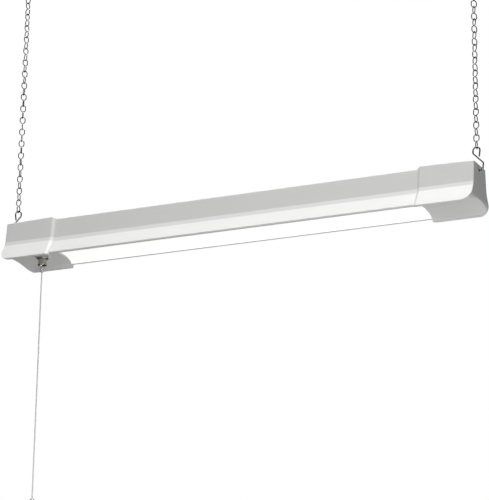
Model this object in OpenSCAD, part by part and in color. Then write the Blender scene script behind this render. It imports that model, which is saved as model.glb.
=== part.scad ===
// Hanging shop light: a folded steel channel with a moulded sleeve on each end, an arched
// diffuser, a pull switch with a cord, and two jack chains that hook to the ceiling.
// X runs along the light, Y from its front to its back and Z up. The origin lies in the
// ceiling plane, midway between the two screw hooks. All sizes are in millimetres.

/* [Light] */
// Overall length over the two end caps
light_l = 914; // [880:1:1300]
// Thickness of the folded steel sheet
sheet_t = 0.8; // [0.6:0.1:1.0]

/* [End caps] */
// Length of each moulded end cap
cap_l = 102; // [96:1:120]
// Height of a cap at its inner rim
cap_h = 78; // [77:0.5:90]
// Width of a cap across its top
cap_top_w = 56.6; // [54:0.2:64]
// Width of a cap across its bottom rims
flange_w = 104; // [101:1:112]
// Wall of a cap
cap_wall = 2; // [1.6:0.1:2.2]
// Fall of a cap's top from its inner rim to its end
cap_fall = 2.6; // [1:0.1:3]
// Radius that rounds a cap's lower end corner, seen from the side
cap_end_r = 18; // [10:1:24]
// Width of the flat rim along each lower edge
rim_w = 8; // [6:0.5:10]
// Height of the vault in the underside
vault_rise = 13; // [10:0.5:14]
// Length of the bevel on a cap's inner rim
bevel_l = 5; // [3:0.5:8]
// Depth of the bevel on a cap's inner rim
bevel_d = 3.3; // [1:0.1:3.4]

/* [Housing] */
// Gap between the steel channel and a cap's wall, at the top and the sides
sleeve_gap = 2; // [1.6:0.1:2.4]
// Width of the channel across its lips
channel_w = 88; // [86:0.5:90]
// Height of the channel's lips above the rims of the caps
lip_z = 3.2; // [3:0.1:4]
// Width of the lip turned in along each lower edge
lip_w = 7; // [6:0.5:8]
// Length of channel that goes into each cap
channel_in = 45; // [40:1:48]

/* [Diffuser and lamps] */
// Wall of the diffuser
lens_t = 1.5; // [1:0.1:2]
// Height of the tray's underside above the caps' rims
tray_z = 28; // [26:0.5:32]
// Width of the tray
tray_w = 56; // [54:0.5:58]
// Width of a lamp board
board_w = 20; // [16:0.5:20]
// Thickness of a lamp board
board_t = 1.2; // [1:0.1:1.6]
// Number of lamp chips on each board
chip_count = 22; // [12:2:30]

/* [Driver] */
// Length of the driver's case
driver_l = 180; // [160:1:190]
// Width of the driver's case
driver_w = 42; // [38:1:44]
// Height of the driver's case
driver_h = 26; // [24:1:28]

/* [Pull switch] */
// Distance of the switch from its cap's inner rim
switch_in = 40; // [38:1:42]
// Bore of the chain nozzle
nozzle_bore = 5; // [4.4:0.1:5.6]
// Diameter of the nozzle's threaded barrel
nozzle_d = 10; // [9:0.2:11]
// Diameter of the nozzle's mouth
nozzle_mouth_d = 17; // [15:0.5:20]
// Diameter of the winding drum
drum_d = 11; // [10:0.5:11.5]
// Diameter of a ball of the pull chain
ball_d = 3.2; // [2.8:0.1:3.4]
// Distance from ball to ball
ball_pitch = 4; // [3.8:0.1:4.4]
// Number of balls
ball_count = 11; // [11:1:14]
// Diameter of the pull cord
cord_d = 2.4; // [2:0.1:3]
// Height of the bell-shaped knob
knob_h = 22; // [18:1:28]
// Diameter of the knob's rim
knob_d = 17; // [14:0.5:20]

/* [Hanging] */
// Wire of the chain links
link_wire = 1.8; // [1.6:0.1:1.9]
// Length that each link adds to the chain
link_pitch = 23.5; // [22:0.5:26]
// Width of a link's loop between its wire centres
link_w = 9.2; // [8.6:0.1:10]
// Links in each chain, with the top link
link_count = 20; // [6:1:24]
// Wire of the lower hooks
hook_wire = 2.6; // [2.2:0.1:2.8]
// Height of a lower hook's top above the caps' rims
hook_top = 107.5; // [105:0.5:112]
// Rod of the ceiling hooks
screw_hook_wire = 4; // [3.6:0.1:4.4]
// Radius of a ceiling hook's bend, to the rod's centre
screw_hook_r = 9; // [8:0.5:12]
// Length of rod between the ceiling and the bend
screw_hook_neck = 8; // [4:1:30]
// Length of the plain shank in the ceiling
shank_l = 10; // [8:1:14]
// Length of the screw thread above the shank
thread_l = 20; // [12:1:30]

/* [Hidden] */
$fn = 48;

// Colours
paint_white = [0.88, 0.88, 0.87];
plastic_white = [0.84, 0.84, 0.83];
lens_white = [0.97, 0.97, 0.95];
zinc = [0.72, 0.73, 0.74];
steel_dark = [0.45, 0.45, 0.46];
board_green = [0.12, 0.38, 0.2];
board_white = [0.93, 0.93, 0.9];
copper = [0.8, 0.5, 0.25];
black = [0.08, 0.08, 0.08];

// Clearances
touch_gap = 0.2;   // between pieces that bear on each other across a joint
link_gap = 0.06;   // between links that bear on each other
end_gap = 0.4;     // between pieces that meet end to end
run_gap = 0.05;    // round a shaft in its bearing
slip_gap = 0.3;    // round a screw in a plain hole
eps = 1;           // how far a cut runs past what it cuts
neck_r = 5;        // bend of a ceiling hook's neck

// Places along the light
end_x = light_l / 2;
rim_x = end_x - cap_l;
channel_end_x = rim_x + channel_in;

// Cap outline: the side leans out to a bend, then flares to the rim
bend_z = 37.4;
bend_w = 66;
flare_z = 30.2;
flare_top_w = 70.4;
vault_w = flange_w - 2 * rim_w;

// ---- Plane geometry ----

function unit(v) = v / norm(v);
function left_of(v) = [-v[1], v[0]];
function backwards(p) = [for (i = [len(p) - 1:-1:0]) p[i]];
function both_sides(half) = concat(half, [for (p = backwards(half)) [-p[0], p[1]]]);

// A closed outline, drawn anticlockwise, moved inwards by d
function inset(p, d) = [for (i = [0:len(p) - 1])
  let (n = len(p), a = left_of(unit(p[i] - p[(i + n - 1) % n])),
       b = left_of(unit(p[(i + 1) % n] - p[i])))
  p[i] + d * (a + b) / (1 + a * b)];

// An open line moved to its left by d
function beside(p, d) = [for (i = [0:len(p) - 1])
  let (n = len(p),
       a = left_of(unit(i > 0 ? p[i] - p[i - 1] : p[1] - p[0])),
       b = left_of(unit(i < n - 1 ? p[i + 1] - p[i] : p[n - 1] - p[n - 2])))
  p[i] + d * (a + b) / (1 + a * b)];

// The band between an open line and its copy d to the left
function band(p, d) = concat(p, backwards(beside(p, d)));

// Points over an arch from right to left
function arch(w, rise, z0 = 0, step = 7.5) =
  [for (a = [0:step:180]) [w / 2 * cos(a), z0 + rise * sin(a)]];

cap_half = [[flange_w / 2, 0], [flare_top_w / 2, flare_z], [bend_w / 2, bend_z],
  [cap_top_w / 2, cap_h]];
cap_outline = both_sides(cap_half);

// The channel follows the cap outline, one wall and one gap inside it
channel_outline = inset(cap_outline, cap_wall + sleeve_gap);
channel_top = cap_h - cap_wall - sleeve_gap;
lip_out = channel_w / 2;
channel_half = [[lip_out - lip_w, lip_z], [lip_out, lip_z], channel_outline[1],
  channel_outline[2], channel_outline[3]];

// ---- Solid geometry ----

// Places children with its own X, Y and Z along the given unit vectors
module frame_at(o, x, y, z) multmatrix([[x[0], y[0], z[0], o[0]],
  [x[1], y[1], z[1], o[1]], [x[2], y[2], z[2], o[2]], [0, 0, 0, 1]]) children();

function any_normal(z) = unit(cross(z, abs(z[2]) < 0.9 ? [0, 0, 1] : [1, 0, 0]));

// Extrudes an outline drawn in Y and Z along X
module along_x(x0, x1) translate([x0, 0, 0]) rotate([90, 0, 90])
  linear_extrude(x1 - x0) children();

// Extrudes an outline drawn in X and Z across Y
module across_y(w) rotate([90, 0, 0]) linear_extrude(w, center = true) children();

module box(a, b) translate(a) cube(b - a);

// A round rod through points p, with corner i bent to radius bends[i - 1]. Its straight pieces
// and bends stop a little short of each other, and balls a little thicker join them.
function turn_at(p, i) = acos(unit(p[i] - p[i - 1]) * unit(p[i + 1] - p[i]));
module rod(p, r, bends) {
  n = len(p);
  short = 0.12 * r;
  start = [for (i = [0:n - 1]) i > 0 && i < n - 1 ? bends[i - 1] * tan(turn_at(p, i) / 2) : 0];
  for (i = [0:n - 2]) {
    z = unit(p[i + 1] - p[i]);
    x = any_normal(z);
    a = p[i] + z * (start[i] + (i > 0 ? short : 0));
    b = p[i + 1] - z * (start[i + 1] + (i < n - 2 ? short : 0));
    if ((b - a) * z > 0) frame_at(a, x, cross(z, x), z) cylinder(h = norm(b - a), r = r);
    if (i > 0) {
      u = unit(p[i] - p[i - 1]);
      turn = turn_at(p, i);
      inwards = unit(z - (u * z) * u);
      bend = bends[i - 1];
      short_turn = short / bend * 180 / PI;
      frame_at(p[i] - u * start[i] + inwards * bend, -inwards, u, cross(u, inwards))
        rotate([0, 0, short_turn]) rotate_extrude(angle = turn - 2 * short_turn)
          translate([bend, 0]) circle(r);
      for (q = [p[i] - u * start[i], p[i] + z * start[i]])
        translate(q) rotate(ball_turn) sphere(1.03 * r);
    }
  }
}
ball_turn = [25, 35, 0];   // keeps the poles of the balls away from the rods' ends

// A tube through route points, as rings of sides joined up
module tube(p, r, sides) {
  n = len(p);
  ring = [for (i = [0:n - 1])
    let (t = unit(p[min(i + 1, n - 1)] - p[max(i - 1, 0)]), x = any_normal(t), y = cross(t, x))
    [for (k = [0:sides - 1]) p[i] + r * (cos(360 * k / sides) * x + sin(360 * k / sides) * y)]];
  faces = concat([[for (k = [sides - 1:-1:0]) k]],
    [for (i = [0:n - 2], k = [0:sides - 1]) let (a = i * sides + k, b = i * sides + (k + 1) % sides)
      each [[a, b, b + sides], [a, b + sides, a + sides]]],
    [[for (k = [0:sides - 1]) (n - 1) * sides + k]]);
  polyhedron([for (q = ring) each q], [for (f = faces) backwards(f)]);
}

// A screw with a domed head, its seat at the origin and its shank pointing down
module pan_screw(d, l, head_d, head_h) {
  translate([0, 0, -l]) cylinder(h = l + head_h / 2, d = d);
  difference() {
    rotate_extrude() polygon([[0, 0], [head_d / 2, 0], [head_d / 2, head_h * 0.55],
      [head_d * 0.36, head_h * 0.9], [head_d * 0.2, head_h], [0, head_h]]);
    for (a = [0, 90]) rotate([0, 0, a])
      translate([-head_d * 0.28, -head_d * 0.06, head_h * 0.5])
        cube([head_d * 0.56, head_d * 0.12, head_h]);
  }
}

// The light's own pieces are drawn from the caps' rims up and hung at the right height
link_c = link_pitch + link_wire + link_gap;
chain_low = hook_top - hook_wire / 2 - touch_gap - link_wire / 2;
chain_high = chain_low + (link_count - 1) * link_pitch + link_c;
bight_high = chain_high - link_wire / 2 - touch_gap - screw_hook_wire / 2;
eye_z = -screw_hook_neck - sqrt(screw_hook_r * (screw_hook_r + 2 * neck_r));
bight_z = eye_z - screw_hook_r;
light_z = bight_z - bight_high;

module at_light() translate([0, 0, light_z]) children();
module both_ends() { children(); mirror([1, 0, 0]) children(); }

// ---- Hanging ----

chain_in = 5;      // the chains hang this far inside the ends
chain_x = end_x - chain_in;

neck_turn = acos(neck_r / (screw_hook_r + neck_r));
mouth_turn = 25;   // the hook stops this far above level
module ceiling_hook_right() color(zinc) translate([chain_x, 0, 0]) {
  r = screw_hook_wire / 2;
  step = 3;        // the pieces stop short of each other and a ball joins them
  translate([0, 0, 0.2 - screw_hook_neck]) cylinder(h = screw_hook_neck + shank_l - 0.2, r = r);
  translate([0, 0, -screw_hook_neck]) sphere(1.03 * r);
  // The neck bends aside and the hook turns back under the shank
  translate([-neck_r, 0, -screw_hook_neck]) rotate([90, 0, 0]) rotate([0, 0, step - neck_turn])
    rotate_extrude(angle = neck_turn - 2 * step) translate([neck_r, 0]) circle(r);
  translate([-neck_r * (1 - cos(neck_turn)), 0, -screw_hook_neck - neck_r * sin(neck_turn)])
    sphere(1.03 * r);
  translate([0, 0, eye_z]) rotate([90, 0, 0]) rotate([0, 0, 180 - neck_turn + step / 2])
    rotate_extrude(angle = 180 + neck_turn + mouth_turn) translate([screw_hook_r, 0]) circle(r);
  translate([0, 0, shank_l]) rotate_extrude() polygon(concat([[0, 0],
    [r, 0]], [for (i = [0:thread_l / thread_pitch - 2], s = [0, 1])
      [(r - (1 - s) * thread_deep) * (1 - 0.05 * max(0, i - 3)), (i + 0.5 + s * 0.5) * thread_pitch]],
    [[0, thread_l]]));
}
thread_pitch = 2;
thread_deep = 0.6;
module ceiling_hook_left() mirror([1, 0, 0]) ceiling_hook_right();

// One loop of a link: two half rings joined by straight sides, from z = 0 up
module link_loop() {
  r = link_w / 2;
  h = link_c / 2;
  for (s = [0, 1]) translate([0, 0, s ? h - r + neck_over : r]) rotate([90, 0, 0])
    rotate([0, 0, s ? 0 : 180]) rotate_extrude(angle = 180) translate([r, 0])
      circle(d = link_wire);
  for (s = [-1, 1]) translate([s * r, 0, r]) cylinder(h = h - 2 * r + neck_over, d = link_wire);
}
neck_over = link_wire / 4;

// A jack chain link: two loops, one turned a quarter from the other
module link() {
  translate([0, 0, link_c]) rotate([0, 180, 90]) link_loop();
  link_loop();
}

// Each link is turned a little from the last, so that the whole chain turns a quarter
module chain(first, last) for (i = [first:last])
  translate([chain_x, 0, chain_low + i * link_pitch])
    rotate([0, 0, 90 * (link_count - 1 - i) / (link_count - 1)]) link();

module right_top_link() color(zinc) at_light() chain(link_count - 1, link_count - 1);
module right_chain() color(zinc) at_light() chain(0, link_count - 2);
module left_top_link() mirror([1, 0, 0]) right_top_link();
module left_chain() mirror([1, 0, 0]) right_chain();

// The lower hook: a pinched loop at the top, a slanted leg and a bight through the bracket
hole_z = 66;
hook_r = hook_wire / 2;
module right_v_hook() color(zinc) at_light() {
  z = hook_top;
  rod([[end_x - 0.6, 0, z - 16.4], [end_x + 1.6, 0, z], [chain_x - 6.4, 0, z],
    [chain_x - 6.6, 0, z - 10.5], [end_x + 6.6, 0, z - 29], [end_x + 5.2, 0, hole_z],
    [bracket_x - 4.2, 0, hole_z], [bracket_x - 5.4, 0, hole_z + 4.6]],
    hook_r, [5.6, 5.6, 3, 3, 3, 2.2]);
}
module left_v_hook() mirror([1, 0, 0]) right_v_hook();

// ---- Housing, caps and diffuser ----

module housing() color(paint_white) at_light() difference() {
  along_x(-channel_end_x, channel_end_x) polygon(band(both_sides(channel_half), sheet_t));
  // The lips are cut back where the channel goes into the caps
  both_ends() box([rim_x - end_gap, -flange_w, -eps], [end_x, flange_w, notch_z]);
  both_ends() for (s = [-1, 1]) translate([rivet_x, s * rivet_y, channel_top])
    cylinder(h = 8, d = rivet_d + 2 * run_gap, center = true);
  for (x = post_at) translate([x, 0, channel_top])
    cylinder(h = 8, d = screw_d + 2 * slip_gap, center = true);
}
notch_z = 8.5;

// Side view of a cap, d inside its surface
module cap_side(d) {
  top_end = cap_h - cap_fall;
  difference() {
    polygon([[rim_x - eps, d - (d > 0 ? 0 : eps)], [end_x - d, d - (d > 0 ? 0 : eps)],
      [end_x - d, top_end - d], [rim_x - eps, cap_h - d + cap_fall * eps / cap_l]]);
    translate([end_x - cap_end_r, cap_end_r]) difference() {
      translate([0, -2 * cap_end_r]) square([2 * cap_end_r, 2 * cap_end_r]);
      circle(cap_end_r - d);
    }
  }
}

// The space outside the slanted bevel on edge i of the outline, at the inner rim. Each bevel is
// a little longer than the last, so that no more than three faces meet at a point.
module beyond_bevel(i) {
  p = cap_outline[i];
  q = cap_outline[i + 1];
  l = bevel_l + 0.05 * i;
  translate([rim_x, p[0], p[1]]) rotate([atan2(q[1] - p[1], q[0] - p[0]), 0, 0])
    translate([0, 2 * flange_w, 0]) rotate([90, 0, 0]) linear_extrude(4 * flange_w)
      polygon([[-eps, -bevel_out], [l * (1 + bevel_out / bevel_d), -bevel_out],
        [-eps, bevel_d * (1 + eps / l)]]);
}
bevel_out = 25;
rim_lip = 8;

// A cap's section, d inside its outline and over its vault
module cap_section(d) difference() {
  polygon(inset(cap_outline, d));
  translate([0, -0.01]) polygon(arch(vault_w + 2 * d, vault_rise + d));
}

module cap_shell() difference() {
  union() {
    difference() {
      intersection() {
        along_x(rim_x, end_x) cap_section(0);
        across_y(2 * flange_w) cap_side(0);
      }
      intersection() {
        along_x(rim_x + rim_lip, end_x) cap_section(cap_wall);
        across_y(2 * flange_w) cap_side(cap_wall);
      }
    }
    // Bosses that stand on the bracket under the cap's screws
    for (s = [-1, 1]) translate([cap_screw_x, s * cap_screw_y, bracket_top])
      cylinder(h = cap_h - cap_wall - bracket_top, d = 2 * screw_d);
  }
  // Mouth that fits round the channel
  along_x(rim_x - eps, rim_x + rim_lip + eps) intersection() {
    polygon(inset(both_sides([for (i = [1:4]) channel_half[i]]), -slip_gap));
    cap_section(cap_wall);
  }
  for (s = [0, 1]) mirror([0, s, 0]) intersection() {
    beyond_bevel(0);
    beyond_bevel(1);
    beyond_bevel(2);
  }
  beyond_bevel(3);
  // Slot for the hanging hook
  for (s = [-1, 1]) translate([end_x, s * (hook_slot_w - hook_slot_h) / 2, hole_z])
    rotate([0, 90, 0]) cylinder(h = 4 * cap_wall, d = hook_slot_h, center = true);
  box([end_x - 2 * cap_wall, -(hook_slot_w - hook_slot_h) / 2, hole_z - hook_slot_h / 2],
    [end_x + eps, (hook_slot_w - hook_slot_h) / 2, hole_z + hook_slot_h / 2]);
  for (s = [-1, 1]) translate([cap_screw_x, s * cap_screw_y, cap_h])
    cylinder(h = 4 * (cap_h - bracket_top), d = screw_d + 2 * slip_gap, center = true);
}
hook_slot_w = 16;
hook_slot_h = 6.4;

module right_end_cap() color(plastic_white) at_light() cap_shell();

module left_end_cap() color(plastic_white) at_light() difference() {
  mirror([1, 0, 0]) cap_shell();
  translate([-end_x, 0, inlet_z]) rotate([0, 90, 0])
    cylinder(h = 4 * cap_wall, d = bushing_d + 2 * run_gap, center = true);
  translate([switch_x, 0, vault_rise])
    cylinder(h = 4 * cap_wall, d = nozzle_d + 2 * run_gap, center = true);
}

// The diffuser stands on the channel's lips and follows the vault of the caps
lens_z = lip_z + sheet_t;
lens_foot = 5;
lens_rise = vault_rise + 2.5 - lens_z;
lens_half_w = lip_out - sheet_t - 1.4;
module lens() color(lens_white) at_light()
  along_x(-rim_x + end_gap, rim_x - end_gap) polygon(band(concat(
    [[lens_half_w, lens_z]], arch(2 * (lens_half_w - lens_foot), lens_rise, lens_z),
    [[-lens_half_w, lens_z]]), -lens_t));

// ---- Brackets that carry the light ----

bracket_t = 1.5;
bracket_w = 40;
bracket_x = end_x - cap_wall - end_gap - bracket_t;
bracket_top = channel_top - sheet_t;
bracket_in = 8;
bracket_drop = 22;
rivet_x = rim_x + bracket_in + 7;
rivet_y = 12;
rivet_d = 4;
hook_hole_d = 4.4;
module right_bracket() color(zinc) at_light() difference() {
  union() {
    box([rim_x + bracket_in, -bracket_w / 2, bracket_top - bracket_t],
      [bracket_x + bracket_t, bracket_w / 2, bracket_top]);
    box([bracket_x, -bracket_w / 2, bracket_top - bracket_drop],
      [bracket_x + bracket_t, bracket_w / 2, bracket_top]);
  }
  // The hole bears on the hook from above
  translate([bracket_x, 0, hole_z + hook_r + touch_gap - hook_hole_d / 2]) rotate([0, 90, 0])
    cylinder(h = 4 * bracket_t, d = hook_hole_d, center = true);
  for (s = [-1, 1]) {
    translate([rivet_x, s * rivet_y, bracket_top])
      cylinder(h = 8, d = rivet_d + 2 * run_gap, center = true);
    translate([cap_screw_x, s * cap_screw_y, bracket_top])
      cylinder(h = 8, d = screw_d + 2 * run_gap, center = true);
  }
}
module left_bracket() mirror([1, 0, 0]) right_bracket();

rivet_head_h = 1;
module bracket_rivets() color(zinc) at_light() both_ends() for (s = [-1, 1])
  translate([rivet_x, s * rivet_y, bracket_top - bracket_t]) {
    translate([0, 0, -rivet_head_h]) cylinder(h = rivet_head_h, d = rivet_d * 1.6);
    cylinder(h = bracket_t + sheet_t, d = rivet_d);
    translate([0, 0, bracket_t + sheet_t]) cylinder(h = rivet_head_h, d = rivet_d * 1.8);
  }

screw_d = 4;
screw_head_d = 7.4;
screw_head_h = 2.4;
cap_screw_x = end_x - 27;
cap_screw_y = 12;
cap_screw_l = 12;
module cap_screws() color(steel_dark) at_light() both_ends() for (s = [-1, 1])
  translate([cap_screw_x, s * cap_screw_y,
      cap_h - cap_fall * (cap_screw_x - rim_x - screw_head_d / 2) / cap_l])
    pan_screw(screw_d, cap_screw_l, screw_head_d, screw_head_h);

// ---- Lamp tray ----

tray_end_x = rim_x + 3;
tray_flange = 8;
tray_top = tray_z + sheet_t;
post_at = [-300, 0, 300] * light_l / 914;
post_d = 8;
// The driver stands beside the left post, and its leads go down through the tray beyond it
driver_tab = 12;
driver_gap = 14;
driver_a = post_at[0] + post_d / 2 + driver_gap + driver_tab;
driver_b = driver_a + driver_l;
driver_x = (driver_a + driver_b) / 2;
lead_x = driver_b + 24;
lead_hole_w = 8;
module led_tray() color(paint_white) at_light() difference() {
  along_x(-tray_end_x, tray_end_x) polygon(band([[tray_w / 2, tray_z + tray_flange],
    [tray_w / 2, tray_z], [-tray_w / 2, tray_z], [-tray_w / 2, tray_z + tray_flange]], -sheet_t));
  for (x = post_at) translate([x, 0, tray_z])
    cylinder(h = 8, d = screw_d + 2 * slip_gap, center = true);
  box([lead_x - lead_hole_w / 2, -lead_hole_w / 2, tray_z - eps],
    [lead_x + lead_hole_w / 2, lead_hole_w / 2, tray_top + eps]);
  for (p = board_screw_at) translate([p[0], p[1], tray_z])
    cylinder(h = 8, d = board_screw_d + 2 * run_gap, center = true);
  for (x = driver_screw_at) translate([x, 0, tray_z])
    cylinder(h = 8, d = board_screw_d + 2 * run_gap, center = true);
  translate([ground_x, 0, tray_z]) cylinder(h = 8, d = screw_d + 2 * run_gap, center = true);
}

post_bore_l = 14;
module tray_posts() color(zinc) at_light() for (x = post_at) difference() {
  translate([x, 0, tray_top]) cylinder(h = channel_top - sheet_t - tray_top, d = post_d);
  for (z = [tray_top - eps, channel_top - sheet_t + eps - post_bore_l])
    translate([x, 0, z]) cylinder(h = post_bore_l, d = screw_d + 2 * run_gap);
}

tray_screw_l = 10;
module tray_screws() color(steel_dark) at_light() for (x = post_at) {
  translate([x, 0, channel_top]) pan_screw(screw_d, tray_screw_l, screw_head_d, screw_head_h);
  translate([x, 0, tray_z]) mirror([0, 0, 1])
    pan_screw(screw_d, tray_screw_l, screw_head_d, screw_head_h);
}

board_y = 15;
board_l = 2 * (rim_x - 7);
board_screw_d = 3;
board_screw_at = [for (x = [-0.46, -0.06, 0.06, 0.46], s = [-1, 1])
  [round(x * board_l), s * (board_y + board_w / 2 - 3.4)]];
module led_board(s) color(board_white) at_light() difference() {
  box([-board_l / 2, s * board_y - board_w / 2, tray_z - board_t],
    [board_l / 2, s * board_y + board_w / 2, tray_z]);
  for (p = board_screw_at) translate([p[0], p[1], tray_z])
    cylinder(h = 8, d = board_screw_d + 2 * slip_gap, center = true);
}
module led_board_front() led_board(-1);
module led_board_rear() led_board(1);

chip_size = [5, 3, 0.9];
chip_pitch = (board_l - 12) / chip_count;
module led_chips() color("gold") at_light() for (i = [0:chip_count - 1], s = [-1, 1])
  translate([(i + 0.5 - chip_count / 2) * chip_pitch - chip_size[0] / 2,
      s * board_y - chip_size[1] / 2, tray_z - board_t - chip_size[2]]) cube(chip_size);

module board_screws() color(zinc) at_light() for (p = board_screw_at)
  translate([p[0], p[1], tray_z - board_t]) mirror([0, 0, 1])
    pan_screw(board_screw_d, 5, 5.4, 1.8);

small_wire_r = 0.8;
pad_z = tray_z - board_t - small_wire_r;
pad_y = board_y - board_w / 2 + 3;
jumper_x = board_l / 2 - 3;
module board_jumper() color("red") at_light()
  rod([[jumper_x, -pad_y, pad_z], [jumper_x, pad_y, pad_z]], small_wire_r, []);

// ---- Driver ----

driver_wall = 1.2;
driver_screw_at = [driver_a - driver_tab / 2, driver_b + driver_tab / 2];
pcb_z = tray_top + 5;
pcb_t = 1.6;
pcb_top = pcb_z + pcb_t;
wire_r = 1.1;
live_y = 8;
entry_z = pcb_top + wire_r;
exit_z = pcb_top + small_wire_r;
module driver_case() color(zinc) at_light() difference() {
  union() {
    difference() {
      box([driver_a, -driver_w / 2, tray_top], [driver_b, driver_w / 2, tray_top + driver_h]);
      box([driver_a + driver_wall, -driver_w / 2 + driver_wall, tray_top + driver_wall],
        [driver_b - driver_wall, driver_w / 2 - driver_wall, tray_top + driver_h + eps]);
    }
    box([driver_a - driver_tab, -8, tray_top], [driver_b + driver_tab, 8, tray_top + driver_wall]);
    for (x = [driver_a + 8, driver_b - 8], s = [-1, 1])
      translate([x, s * (driver_w / 2 - 7), tray_top]) cylinder(h = pcb_z - tray_top, d = 6);
  }
  for (s = [-1, 1]) {
    translate([driver_a, s * live_y, entry_z]) rotate([0, 90, 0])
      cylinder(h = 4, r = wire_r + slip_gap, center = true);
    translate([driver_b, s * lead_out_y, exit_z]) rotate([0, 90, 0])
      cylinder(h = 4, r = small_wire_r + slip_gap, center = true);
  }
  for (x = driver_screw_at) translate([x, 0, tray_top])
    cylinder(h = 8, d = board_screw_d + 2 * slip_gap, center = true);
}

cover_skirt = 6;
module driver_cover() color(zinc) at_light() {
  z = tray_top + driver_h;
  inner = driver_wall + end_gap / 2;
  box([driver_a, -driver_w / 2, z], [driver_b, driver_w / 2, z + driver_wall]);
  for (s = [0, 1]) mirror([0, s, 0]) box([driver_a + inner, driver_w / 2 - inner - driver_wall,
    z - cover_skirt], [driver_b - inner, driver_w / 2 - inner, z]);
}

module driver_board() color(board_green) at_light()
  box([driver_a + 3, -driver_w / 2 + 3, pcb_z], [driver_b - 3, driver_w / 2 - 3, pcb_top]);

transformer_h = 15;
module driver_transformer() at_light() translate([driver_x - 14, 0, pcb_top]) {
  color("goldenrod") translate([0, 0, 3]) rotate([90, 0, 0])
    translate([0, transformer_h / 2 - 3, 0]) cylinder(h = 16, d = 10.4, center = true);
  color(steel_dark) difference() {
    box([-13, -11, 0], [13, 11, transformer_h]);
    box([-9, -8, 2], [9, 8, transformer_h - 2]);
    box([-9, -12, 2], [9, 12, transformer_h - 2]);
  }
  color(steel_dark) for (s = [-1, 1]) translate([0, s * 9, 0]) difference() {
    box([-9, -1, 1], [9, 1, transformer_h - 1]);
    box([-20, -3, -3], [-7, 3, 1]);
  }
}

capacitor_at = [[-58, 5], [40, -4]];
module driver_capacitors() color("navy") at_light() for (p = capacitor_at)
  translate([driver_x + p[0], p[1], pcb_top]) {
    cylinder(h = 14, d = 10);
    translate([0, 0, 14]) cylinder(h = 0.5, d = 8.6);
  }

module driver_screws() color(zinc) at_light() for (x = driver_screw_at)
  translate([x, 0, tray_top + driver_wall]) pan_screw(board_screw_d, 6, 5.4, 1.8);

// ---- Cord inlet and wiring ----

switch_x = -(rim_x + switch_in);
switch_wall = 1.6;
switch_z = vault_rise + cap_wall;
switch_h = 27;
switch_top = switch_z + switch_h;
blade_top = switch_top + 5;

inlet_z = 38;
inlet_bore = 7.5;
bushing_d = 12;
bushing_flange_d = 17;
bushing_in = 9;
module cord_bushing() color(black) at_light() translate([-end_x, 0, inlet_z])
  rotate([0, 90, 0]) rotate_extrude() polygon([[inlet_bore / 2, -5], [bushing_d / 2 - 1, -5],
    [bushing_flange_d / 2, -2], [bushing_flange_d / 2, 0], [bushing_d / 2, 0],
    [bushing_d / 2, bushing_in], [inlet_bore / 2, bushing_in]]);

module bushing_nut() color(black) at_light()
  translate([-end_x + cap_wall, 0, inlet_z]) rotate([0, 90, 0]) difference() {
    cylinder(h = 4, d = 18, $fn = 6);
    translate([0, 0, -eps]) cylinder(h = 4 + 2 * eps, d = bushing_d + 2 * run_gap);
  }

nut_at = [-9, 0, 9];
nut_l = 15;
nut_x = -end_x + 22;
nut_z = 50;
module wire_connectors() color("orange") at_light() for (y = nut_at)
  translate([nut_x, y, nut_z]) rotate([0, 90, 0]) rotate_extrude()
    polygon([[0, 0], [2.2, 0], [3.6, nut_l - 2], [4, nut_l], [0, nut_l]]);

nut_mouth = nut_x + nut_l;
module live_wires() color(black) at_light() {
  rod([[nut_mouth, nut_at[0], nut_z], [nut_mouth + 12, nut_at[0], nut_z],
    [switch_x - 3, -blade_y, blade_top + 13], [blade_mid, -blade_y, blade_top + 13],
    [blade_mid, -blade_y, blade_top]], wire_r, [5, 5, 5]);
  rod([[blade_mid, blade_y, blade_top], [blade_mid, blade_y, blade_top + 10],
    [blade_mid + 20, -live_y, blade_top + 10], [driver_a - 20, -live_y, entry_z],
    [driver_a + 9, -live_y, entry_z]], wire_r, [5, 5, 5]);
}

module neutral_wire() color("white") at_light()
  rod([[nut_mouth, nut_at[2], nut_z], [nut_mouth + 10, nut_at[2], nut_z],
    [switch_x - 5, nut_at[2], blade_top + 16], [blade_mid + 16, live_y + 4, blade_top + 14],
    [driver_a - 20, live_y, entry_z], [driver_a + 9, live_y, entry_z]], wire_r, [5, 8, 8, 5]);

ground_x = -tray_end_x + 14;
lug_t = 0.8;
lug_barrel_r = 1.9;
module ground_wire() color("green") at_light()
  rod([[nut_mouth, 0, nut_z], [nut_mouth + 8, 0, nut_z], [nut_mouth + 24, 0, nut_z + 18],
    [blade_mid + 14, 0, nut_z + 18], [ground_x - 14, 0, tray_top + lug_barrel_r],
    [ground_x - 9, 0, tray_top + lug_barrel_r]], wire_r, [5, 5, 5, 2.4]);

module ground_lug() color(copper) at_light() {
  difference() {
    union() {
      translate([ground_x, 0, tray_top]) cylinder(h = lug_t, d = 9);
      box([ground_x - 6, -2, tray_top], [ground_x, 2, tray_top + lug_t]);
    }
    translate([ground_x, 0, tray_top - eps]) cylinder(h = 4, d = screw_d + 2 * slip_gap);
  }
  intersection() {
    translate([ground_x - 9, 0, tray_top + lug_barrel_r]) rotate([0, 90, 0])
      cylinder(h = 4, r = lug_barrel_r);
    box([ground_x - 12, -5, tray_top], [ground_x, 5, tray_top + 8]);
  }
}

module ground_screw() color("limegreen") at_light() translate([ground_x, 0, tray_top + lug_t])
  pan_screw(screw_d, 7, 8, 2.4);

lead_out_y = 6;
module led_wires() at_light() for (s = [-1, 1]) color(s > 0 ? "red" : "blue")
  rod([[driver_b - 9, s * lead_out_y, exit_z], [driver_b + 14, s * lead_out_y, exit_z],
    [lead_x, s * 2.2, exit_z], [lead_x, s * 2.2, pad_z], [lead_x, s * pad_y, pad_z]],
    small_wire_r, [2, 2, 1.4]);

// ---- Pull switch ----

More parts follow.
